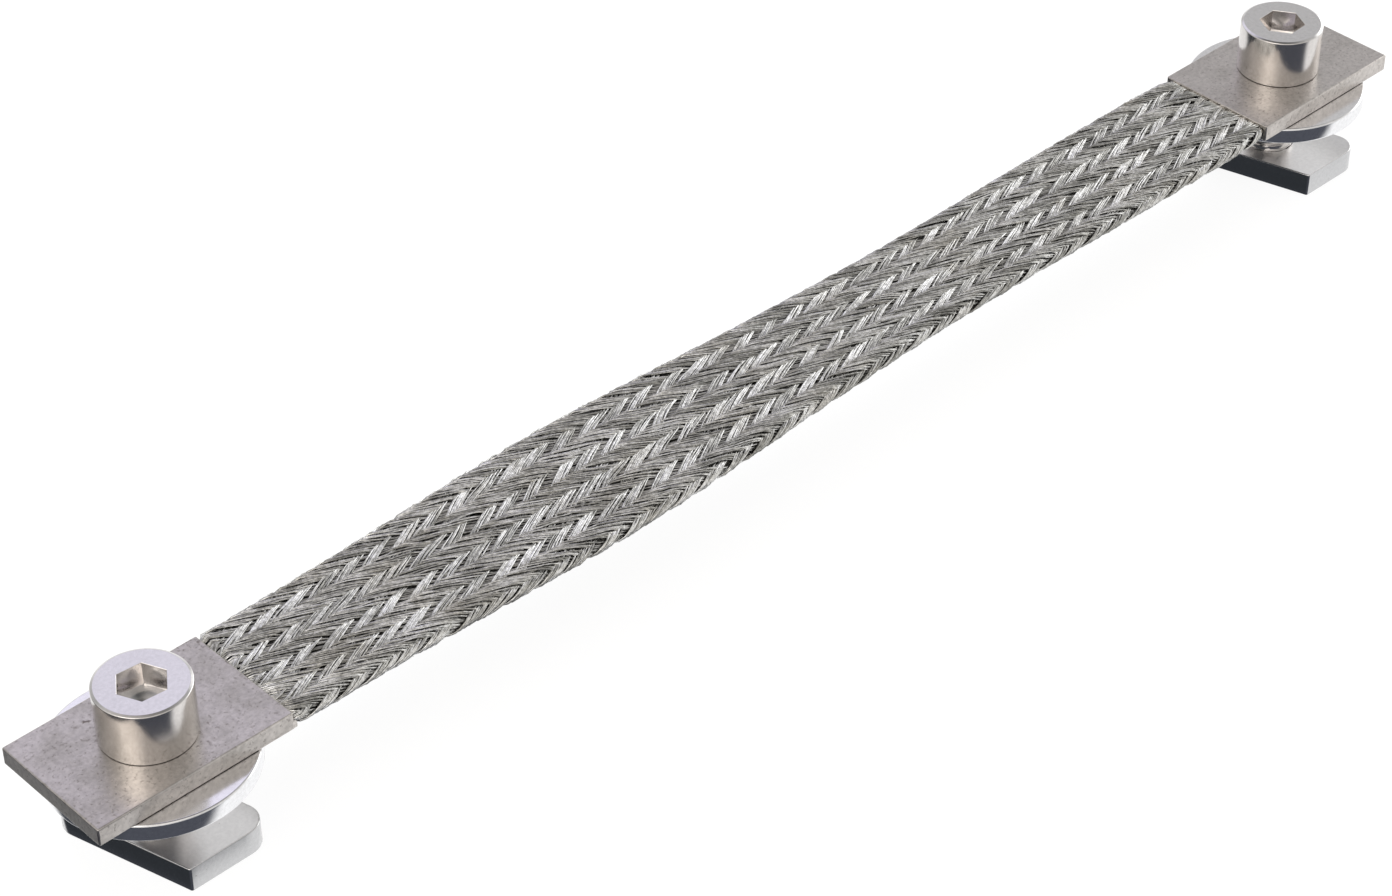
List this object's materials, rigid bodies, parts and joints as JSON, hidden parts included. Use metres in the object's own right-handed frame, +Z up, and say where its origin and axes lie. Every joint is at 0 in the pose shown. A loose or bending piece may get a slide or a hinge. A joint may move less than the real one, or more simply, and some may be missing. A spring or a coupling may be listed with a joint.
{
  "type": "flexible busbar braid",
  "caption": "Flat braided copper bonding strap with pressed lugs, each held by a socket screw, wide washer and slot nut for a slotted profile.",
  "frame": {"origin": "midway between the two screw axes, on the plane of the slot nuts' undersides", "axes": "+X along the strap from the left end to the right end, +Y across the strap, +Z up along the screws towards their heads"},
  "size_m": [0.1952, 0.0218, 0.02],
  "materials": {
    "tinned_wire": "tinned copper wire, woven, bright along the crests and grey between them",
    "lug_tin": "satin tin with fine specks and scuffs",
    "screw_plating": "polished nickel plating",
    "washer_plating": "polished bright plating",
    "nut_plating": "polished bright plating"
  },
  "bodies": {
    "root": {"braided_strap": "tinned_wire", "left_lug": "lug_tin", "right_lug": "lug_tin", "left_screw": "screw_plating", "right_screw": "screw_plating", "left_washer": "washer_plating", "right_washer": "washer_plating", "left_slot_nut": "nut_plating", "right_slot_nut": "nut_plating"}
  },
  "joints": []
}
